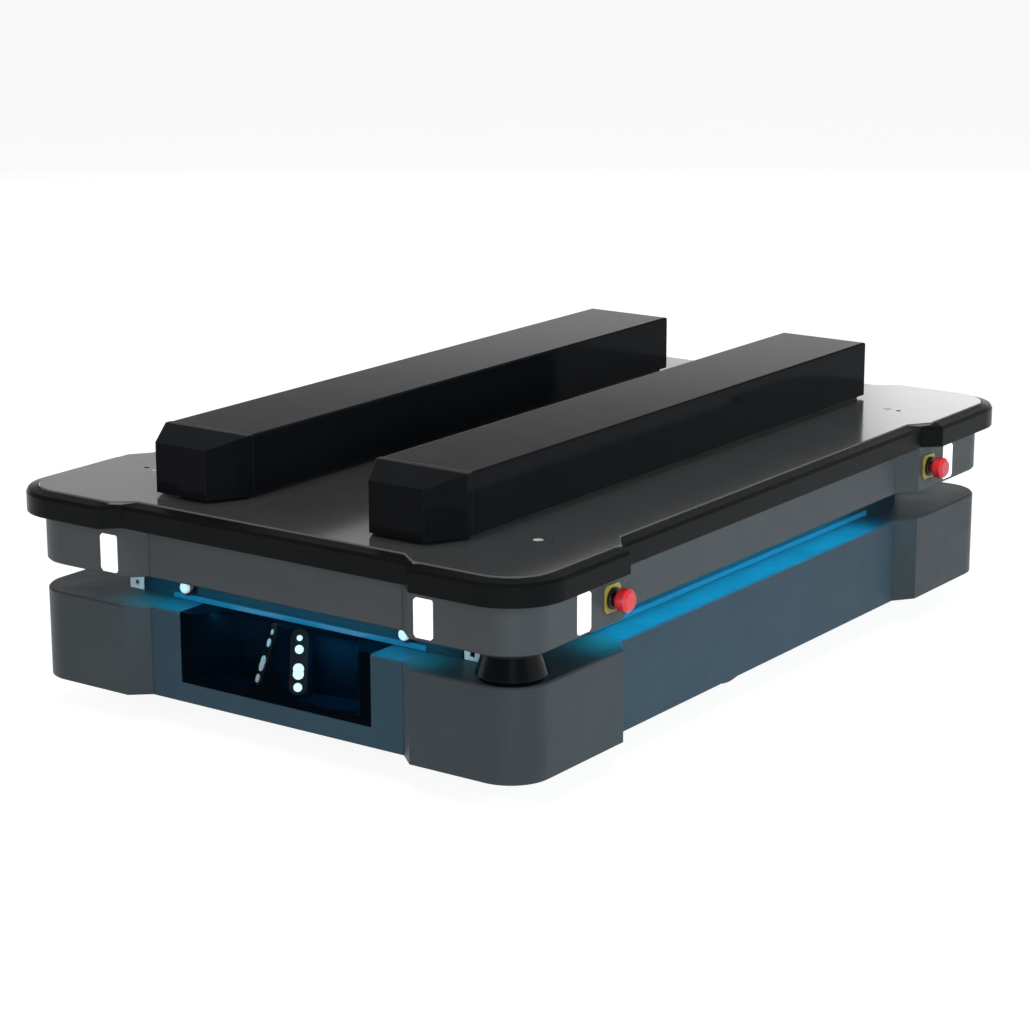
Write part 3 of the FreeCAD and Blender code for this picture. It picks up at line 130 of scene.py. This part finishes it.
# ---------------------------------------------------------------- node helpers
class Nodes:
    """Adds and links shader nodes in one tree. A source is a socket or a number."""

    def __init__(self, tree):
        self.tree = tree

    def add(self, kind, **settings):
        node = self.tree.nodes.new(kind)
        for key, setting in settings.items():
            setattr(node, key, setting)
        return node

    def link(self, source, target):
        self.tree.links.new(source, target)

    def coordinate(self, space):
        return self.add("ShaderNodeTexCoord").outputs[space]

    def ramp(self, source, low, high, out_low=0.0, out_high=1.0, shape="LINEAR"):
        node = self.add("ShaderNodeMapRange", interpolation_type=shape)
        node.inputs["From Min"].default_value = low
        node.inputs["From Max"].default_value = high
        node.inputs["To Min"].default_value = out_low
        node.inputs["To Max"].default_value = out_high
        self.link(source, node.inputs["Value"])
        return node.outputs["Result"]

    def maths(self, operation, first, second):
        node = self.add("ShaderNodeMath", operation=operation)
        for socket, source in zip(node.inputs, (first, second)):
            if isinstance(source, float):
                socket.default_value = source
            else:
                self.link(source, socket)
        return node.outputs[0]

    def cosine(self, first, second):
        """The dot product of two directions, the second a socket or a vector."""
        node = self.add("ShaderNodeVectorMath", operation="DOT_PRODUCT")
        self.link(first, node.inputs[0])
        if isinstance(second, Vector):
            node.inputs[1].default_value = second
        else:
            self.link(second, node.inputs[1])
        return node.outputs["Value"]


class Finish(Nodes):
    """The nodes of one new material."""

    def __init__(self, name):
        self.material = bpy.data.materials.new(name)
        self.material.use_nodes = True
        super().__init__(self.material.node_tree)
        self.shader = self.tree.nodes["Principled BSDF"]

    def set(self, **constants):
        """Set constants on the shader's own sockets, whose names have spaces."""
        for key, constant in constants.items():
            self.shader.inputs[key.replace("_", " ")].default_value = constant

    def noise(self, scale, detail=3.0, roughness=0.5):
        node = self.add("ShaderNodeTexNoise")
        node.inputs["Scale"].default_value = scale
        node.inputs["Detail"].default_value = detail
        node.inputs["Roughness"].default_value = roughness
        self.link(self.coordinate("Object"), node.inputs["Vector"])
        return node.outputs["Fac"]

    def mix(self, factor, first, second):
        """Blend two colours, each a triple or a socket."""
        node = self.add("ShaderNodeMix", data_type="RGBA")
        self.link(factor, node.inputs["Factor"])
        for socket, colour in ((node.inputs[6], first), (node.inputs[7], second)):
            if isinstance(colour, tuple):
                socket.default_value = (*colour, 1.0)
            else:
                self.link(colour, socket)
        return node.outputs[2]

    def rounded(self, radius):
        """The surface direction with its sharp edges eased to a small radius."""
        node = self.add("ShaderNodeBevel", samples=4)
        node.inputs["Radius"].default_value = radius
        return node.outputs["Normal"]

    def edges(self, eased):
        """1 along the sharp edges, 0 on the faces."""
        flat = self.add("ShaderNodeNewGeometry").outputs["Normal"]
        return self.ramp(self.cosine(eased, flat), 0.995, 0.90)

    def bump(self, height, strength, distance, eased):
        node = self.add("ShaderNodeBump")
        node.inputs["Strength"].default_value = strength
        node.inputs["Distance"].default_value = distance
        self.link(height, node.inputs["Height"])
        self.link(eased, node.inputs["Normal"])
        self.link(node.outputs["Normal"], self.shader.inputs["Normal"])

    def glow(self, colour, strength):
        self.set(Emission_Color=(*colour, 1.0), Emission_Strength=strength)
        return self.material


def surface(name, dark, light, rough, grain, bump, metal=0.0, wear=None, coat=0.0, level=0.5,
            ior=1.5):
    """A finished surface: mottled colour, uneven gloss, fine grain and edge wear."""
    nodes = Finish(name)
    nodes.set(Metallic=metal, Coat_Weight=coat, Coat_Roughness=COAT_ROUGHNESS,
              Specular_IOR_Level=level, IOR=ior)
    clouds = nodes.ramp(nodes.noise(CLOUD_SCALE, 4.0, 0.6), 0.35, 0.65)
    colour = nodes.mix(clouds, dark, light)
    eased = nodes.rounded(EDGE_RADIUS)
    if wear is not None:
        rubbed = nodes.maths("MULTIPLY", nodes.edges(eased), nodes.noise(WEAR_SCALE, 4.0, 0.7))
        colour = nodes.mix(rubbed, colour, wear)
    nodes.link(colour, nodes.shader.inputs["Base Color"])
    smudge = nodes.ramp(nodes.noise(SMUDGE_SCALE, 5.0, 0.65), 0.3, 0.7, *rough)
    nodes.link(smudge, nodes.shader.inputs["Roughness"])
    nodes.bump(nodes.noise(grain, 2.0, 0.5), bump, GRAIN_DEPTH, eased)
    return nodes


# ---------------------------------------------------------------- materials
def lighter(tone, factor):
    return tuple(min(1.0, channel * factor) for channel in tone)


def cover_plastic(name, tone):
    """Moulded covers with a fine spark-eroded grain and slightly rubbed edges."""
    worn = tuple(channel * 1.6 + 0.01 for channel in tone)
    return surface(name, tone, lighter(tone, 1.12), (0.40, 0.48), 1400.0, 0.18, wear=worn,
                   ior=1.3).material


def rim_plastic():
    return surface("rim_plastic", (0.005, 0.0055, 0.006), (0.007, 0.0075, 0.008), (0.24, 0.30),
                   1100.0, 0.05, wear=(0.02, 0.02, 0.02), ior=1.14).material


def plate_paint():
    """Dark, smooth powder coat on the load plate, under a clear gloss."""
    return surface("plate_paint", (0.068, 0.068, 0.069), (0.076, 0.076, 0.077), (0.15, 0.19),
                   900.0, 0.02, wear=(0.12, 0.12, 0.12), coat=1.0, level=0.9).material


def lift_paint():
    """Black powder coat on the lift bars, with a sharp but weak gloss."""
    return surface("lift_paint", (0.0055, 0.0062, 0.0075), (0.0065, 0.0072, 0.0090),
                   (0.08, 0.11), 1000.0, 0.04, wear=(0.04, 0.04, 0.04), ior=1.10).material


def slot_plastic_painted_cyan():
    # A dark wall with a blue tint: the tint is painted cyan light, added to the real light of the
    # glow strips.
    return surface("slot_plastic_painted_cyan", (0.012, 0.030, 0.042), (0.015, 0.034, 0.047), (0.30, 0.42),
                   1200.0, 0.10, ior=1.10).material


def scanner_window():
    return surface("scanner_window", (0.0015, 0.002, 0.003), (0.0022, 0.003, 0.0045),
                   (0.10, 0.18), 700.0, 0.03, ior=1.22).material


def bare_metal(name, tone, rough, metal=1.0):
    return surface(name, tone, lighter(tone, 1.12), rough, 1600.0, 0.12, metal=metal).material


def rubber(name, tone):
    return surface(name, tone, lighter(tone, 1.25), (0.62, 0.78), 800.0, 0.35,
                   wear=(0.14, 0.13, 0.12)).material


def plastic(name, tone, rough=(0.35, 0.48), coat=0.0, ior=1.5):
    return surface(name, tone, lighter(tone, 1.1), rough, 1200.0, 0.12, coat=coat,
                   ior=ior).material


def light_guide():
    return surface("light_guide", (0.01, 0.045, 0.070), (0.012, 0.050, 0.076), (0.3, 0.4),
                   600.0, 0.05).glow((0.0, 0.155, 0.34), 0.5)


def signal_window():
    return surface("signal_window", (0.80, 0.81, 0.82), (0.86, 0.87, 0.88), (0.25, 0.35),
                   500.0, 0.03).glow(WHITE, 0.75)


def button_white():
    # Painted highlight: the white faces glow, though the buttons are no lamps.
    return surface("button_white", (0.26, 0.26, 0.27), (0.30, 0.30, 0.31), (0.18, 0.26),
                   500.0, 0.03, coat=0.5).glow(WHITE, 0.42)


def lens_window():
    """Camera windows with a painted highlight: they glow, and those on the robot's left glow more.
    """
    nodes = surface("lens_window", (0.30, 0.33, 0.35), (0.36, 0.39, 0.41), (0.08, 0.16),
                    900.0, 0.02, coat=0.8)
    across = nodes.add("ShaderNodeSeparateXYZ")
    nodes.link(nodes.coordinate("Object"), across.inputs[0])
    # Painted highlight: emission that rises across X from 0.10 to 0.62, standing in for light the
    # windows catch.
    nodes.set(Emission_Color=(0.92, 0.97, 1.0, 1.0))
    nodes.link(nodes.ramp(across.outputs["X"], -0.01, 0.01, 0.10, 0.62),
               nodes.shader.inputs["Emission Strength"])
    return nodes.material


def dress(material, *names):
    """Give a material to every slot of the named CAD nodes."""
    for name in names:
        for slot in bpy.data.objects[name].material_slots:
            slot.material = material


def dress_nodes():
    dress(cover_plastic("upper_cover_plastic", (0.069, 0.077, 0.083)),
          "upper_corner_covers", "upper_side_panels", "upper_end_panels")
    dress(cover_plastic("lower_corner_plastic", (0.044, 0.054, 0.062)),
          *each("lower_corner_", QUARTERS))
    # The lower panels are a bluer copy of the lower corner plastic: the extra blue is painted cyan
    # light, not the plastic's own tone.
    dress(cover_plastic("lower_panel_plastic_painted_cyan", (0.023, 0.057, 0.084)),
          *each("lower_", ("left", "right", "front", "rear"), "_cover"))
    dress(rim_plastic(), "edge_trim")
    dress(plate_paint(), "top_plate")
    dress(lift_paint(), "lift_cover_left", "lift_cover_right", "lift_nose_left",
          "lift_nose_right")
    dress(slot_plastic_painted_cyan(), "gap_wall")
    dress(light_guide(), "light_strips")
    dress(signal_window(), "signal_lights")
    dress(scanner_window(), "scanner_front", "scanner_rear")
    # The niche lining's blue tint is painted cyan light, added to the light of the niche glow
    # lamps.
    dress(plastic("niche_lining", (0.0004, 0.0024, 0.0050), (0.24, 0.34), ior=1.05),
          "camera_niche", "camera_wedge")
    dress(plastic("camera_front", (0.004, 0.004, 0.005), (0.15, 0.25), ior=1.3),
          "depth_cameras")
    dress(lens_window(), "camera_lenses")
    dress(bare_metal("zinc", (0.82, 0.83, 0.84), (0.30, 0.42), 0.2), "plate_inserts")
    alloy = bare_metal("bracket_alloy", (0.80, 0.82, 0.84), (0.35, 0.48), 0.2)
    dress(alloy, "slot_brackets")
    add_bracket_legs(alloy)
    dress(bare_metal("rod_chrome", (0.80, 0.80, 0.81), (0.08, 0.16)),
          "lift_rods_left", "lift_rods_right")
    dress(bare_metal("pressed_steel", (0.52, 0.53, 0.55), (0.30, 0.45)),
          "battery_tray", "caster_mounts", *each("caster_fork_", QUARTERS))
    dress(bare_metal("hub_alloy", (0.56, 0.57, 0.58), (0.28, 0.40)),
          "drive_hub_left", "drive_hub_right")
    dress(bare_metal("case_alloy", (0.30, 0.31, 0.33), (0.35, 0.50)), "electronics")
    dress(plastic("frame_paint", (0.012, 0.012, 0.013), (0.40, 0.55)),
          "chassis_deck", "top_frame", "lift_bases", "lift_jacks", "drive_motors")
    dress(plastic("battery_plastic", (0.040, 0.040, 0.044)), "battery")
    dress(rubber("drive_tread", (0.020, 0.020, 0.020)), "drive_tyre_left", "drive_tyre_right")
    dress(rubber("caster_tread", (0.060, 0.060, 0.062)), *each("caster_wheel_", QUARTERS))
    dress(plastic("stop_yellow", (0.46, 0.36, 0.06)), "stop_plates")
    dress(plastic("stop_red", (0.86, 0.035, 0.045), (0.25, 0.35), 0.2),
          *each("stop_cap_", QUARTERS))
    dress(plastic("black_plastic", (0.005, 0.005, 0.005), (0.28, 0.40)),
          "stop_collars", "release_bezels")
    dress(button_white(), "release_button_left", "release_button_right")


# ---------------------------------------------------------------- added pieces
def leg_mesh(name, columns, rows, face, back, toe):
    """An upright sheet with a rectangular hole, and a foot that runs inwards at its lower edge."""
    mesh = bmesh.new()
    grid = {(i, j, k): mesh.verts.new((x, y, z)) for i, x in enumerate(columns)
            for j, z in enumerate(rows) for k, y in enumerate((face, back))}
    for i in range(3):
        for j in range(3):
            if (i, j) == (1, 1):
                continue
            for k in (0, 1):
                mesh.faces.new([grid[i, j, k], grid[i + 1, j, k],
                                grid[i + 1, j + 1, k], grid[i, j + 1, k]])
    outline = ([(i, 0) for i in range(3)] + [(3, j) for j in range(3)]
               + [(3 - i, 3) for i in range(3)] + [(0, 3 - j) for j in range(3)])
    hole = [(1, 1), (2, 1), (2, 2), (1, 2)]
    for loop in (outline, hole):
        for start, end in zip(loop, loop[1:] + loop[:1]):
            mesh.faces.new([grid[(*start, 0)], grid[(*end, 0)],
                            grid[(*end, 1)], grid[(*start, 1)]])
    sole, instep = rows[0], rows[0] + LEG_THICKNESS
    section = ((back, sole), (toe, sole), (toe, instep), (back, instep))
    near, far = ([mesh.verts.new((x, y, z)) for y, z in section]
                 for x in (columns[0], columns[-1]))
    mesh.faces.new(near)
    mesh.faces.new(far[::-1])
    for i in range(4):
        j = (i + 1) % 4
        mesh.faces.new([near[i], far[i], far[j], near[j]])
    bmesh.ops.recalc_face_normals(mesh, faces=mesh.faces)
    data = bpy.data.meshes.new(name)
    mesh.to_mesh(data)
    mesh.free()
    return data


def add_bracket_legs(material):
    """Bent aluminium legs that carry the slot brackets down to the ledge, each with a slot."""
    low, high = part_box("slot_brackets")
    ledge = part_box("lower_front_cover")[1][2] + LEG_FOOT_GAP
    top = low[2] - LEG_TOP_GAP
    rise = top - ledge
    rows = (ledge, ledge + LEG_HOLE_LOW * rise, ledge + LEG_HOLE_HIGH * rise, top)
    for side in (-1, 1):
        for end in (-1, 1):
            outer = side * (high[0] - LEG_INSET)
            inner = outer - side * LEG_WIDTH
            middle = (outer + inner) / 2
            columns = (inner, middle - side * LEG_HOLE_HALF, middle + side * LEG_HOLE_HALF, outer)
            face = end * (high[1] - LEG_SETBACK)
            name = "bracket_leg_%s_%s" % ("front" if end < 0 else "rear",
                                          "left" if side > 0 else "right")
            data = leg_mesh(name, columns, rows, face, face - end * LEG_THICKNESS,
                            face - end * LEG_DEPTH)
            data.materials.append(material)
            leg = bpy.data.objects.new(name, data)
            link_to_scene(leg)
            eased = leg.modifiers.new("eased", "BEVEL")
            eased.width = LEG_EDGE
            eased.segments = 2
            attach(leg, "chassis")


# ---------------------------------------------------------------- stage
def add_camera():
    turn = Matrix.Rotation(math.radians(CAMERA_AZIMUTH), 4, "Z")
    tilt = Matrix.Rotation(math.radians(90 - CAMERA_ELEVATION), 4, "X")
    roll = Matrix.Rotation(math.radians(CAMERA_ROLL), 4, "Z")
    back = Matrix.Translation((0, 0, CAMERA_DISTANCE))
    lens = bpy.data.cameras.new("camera")
    lens.lens = CAMERA_LENS
    lens.sensor_width = CAMERA_SENSOR
    lens.clip_end = CAMERA_REACH
    camera = bpy.data.objects.new("camera", lens)
    camera.matrix_world = Matrix.Translation(CAMERA_TARGET) @ turn @ tilt @ roll @ back
    link_to_scene(camera)
    bpy.context.scene.camera = camera


def add_floor():
    """A pale floor that looks white and still takes the robot's shadow."""
    mesh = bpy.data.meshes.new("floor")
    corners = [(x * FLOOR_REACH, y * FLOOR_REACH, 0)
               for x, y in ((-1, -1), (1, -1), (1, 1), (-1, 1))]
    mesh.from_pydata(corners, [], [(0, 1, 2, 3)])
    floor = bpy.data.objects.new("floor", mesh)
    link_to_scene(floor)
    nodes = Finish("floor_paint")
    clouds = nodes.ramp(nodes.noise(3.0), 0.3, 0.7)
    tone = nodes.mix(clouds, (0.28, 0.28, 0.28), (0.30, 0.30, 0.30))
    nodes.link(tone, nodes.shader.inputs["Base Color"])
    nodes.set(Roughness=0.9, Specular_IOR_Level=0.1, Emission_Color=(*WHITE, 1.0))
    path = nodes.add("ShaderNodeLightPath").outputs
    seen = nodes.maths("MAXIMUM", path["Is Camera Ray"], path["Is Glossy Ray"])
    seen = nodes.maths("MAXIMUM", seen, path["Is Transmission Ray"])
    nodes.link(nodes.ramp(seen, 0.0, 1.0, 0.0, FLOOR_GLOW),
               nodes.shader.inputs["Emission Strength"])
    mesh.materials.append(nodes.material)


def add_area(name, place, aim, width, height, watts, colour, in_gloss):
    light = bpy.data.lights.new(name, "AREA")
    light.shape = "RECTANGLE"
    light.size = width
    light.size_y = height
    light.energy = watts
    light.color = colour
    lamp = bpy.data.objects.new(name, light)
    lamp.location = place
    lamp.rotation_euler = (Vector(aim) - Vector(place)).to_track_quat("-Z", "Y").to_euler()
    lamp.visible_camera = False
    lamp.visible_glossy = in_gloss
    link_to_scene(lamp)


def add_slot_glow():
    """Cyan strips under the upper covers, which light the ledges, the slot and the niche."""
    side_low, side_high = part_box("upper_side_panels")
    end_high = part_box("upper_end_panels")[1]
    niche_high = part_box("camera_niche")[1]
    under = side_low[2] - GLOW_BELOW
    middle = GLOW_SIDE_MIDDLE
    for sign in (-1, 1):
        mark = sign > 0
        edge = sign * (side_high[0] - GLOW_INSET)
        aim = edge - sign * GLOW_LEAN
        add_area("glow_side_%d" % mark, (edge, middle, under), (aim, middle, 0.0),
                 GLOW_SIDE_LENGTH, GLOW_STRIP, GLOW_SIDE_WATTS, GLOW_COLOUR, False)
        edge = sign * (end_high[1] - GLOW_INSET)
        aim = edge - sign * GLOW_LEAN
        add_area("glow_end_%d" % mark, (0.0, edge, under), (0.0, aim, 0.0),
                 GLOW_END_LENGTH, GLOW_STRIP, GLOW_END_WATTS, GLOW_COLOUR, False)
        bay = sign * NICHE_BAY
        place = (bay, niche_high[1] - NICHE_INSET, niche_high[2] - GLOW_BELOW)
        add_area("glow_niche_%d" % mark, place, (bay, niche_high[1] - NICHE_AIM, 0.0),
                 NICHE_LENGTH, NICHE_STRIP, NICHE_WATTS[sign], GLOW_COLOUR, False)


def add_world():
    """A white background to the camera and through glass. Gloss shows it under a darker ceiling."""
    world = bpy.data.worlds.new("studio")
    bpy.context.scene.world = world
    world.use_nodes = True
    nodes = Nodes(world.node_tree)
    background = nodes.tree.nodes["Background"]
    background.inputs["Color"].default_value = (*WHITE, 1.0)
    direction = nodes.coordinate("Generated")

    def change(aim, edge, low, high):
        cosine = nodes.cosine(direction, Vector(aim).normalized())
        return nodes.ramp(cosine, *edge, low, high, "SMOOTHSTEP")

    wall = change(WALL_DIRECTION, WALL_EDGE, 0.0, 1.0)
    height = change(CEILING_DIRECTION, CEILING_EDGE, CEILING_LEVEL, WALL_LEVEL)
    patch = change(PATCH_DIRECTION, PATCH_EDGE, 0.0, PATCH_LEVEL)
    level = nodes.maths("ADD", nodes.maths("MULTIPLY", wall, height), patch)
    level = nodes.maths("ADD", level, FILL_LEVEL)
    path = nodes.add("ShaderNodeLightPath").outputs
    ceiling = change(CEILING_DIRECTION, CEILING_EDGE, CEILING_LEVEL, 1.0)
    mirrored = nodes.maths("MULTIPLY", path["Is Glossy Ray"], ceiling)
    plain = nodes.maths("MAXIMUM", path["Is Camera Ray"], path["Is Transmission Ray"])
    level = nodes.maths("MAXIMUM", level, mirrored)
    level = nodes.maths("MAXIMUM", level, plain)
    nodes.link(level, background.inputs["Strength"])


dress_nodes()
add_floor()
for lamp in LAMPS:
    add_area(*lamp)
add_world()
bpy.context.scene.view_settings.view_transform = "Standard"
add_slot_glow()
add_camera()
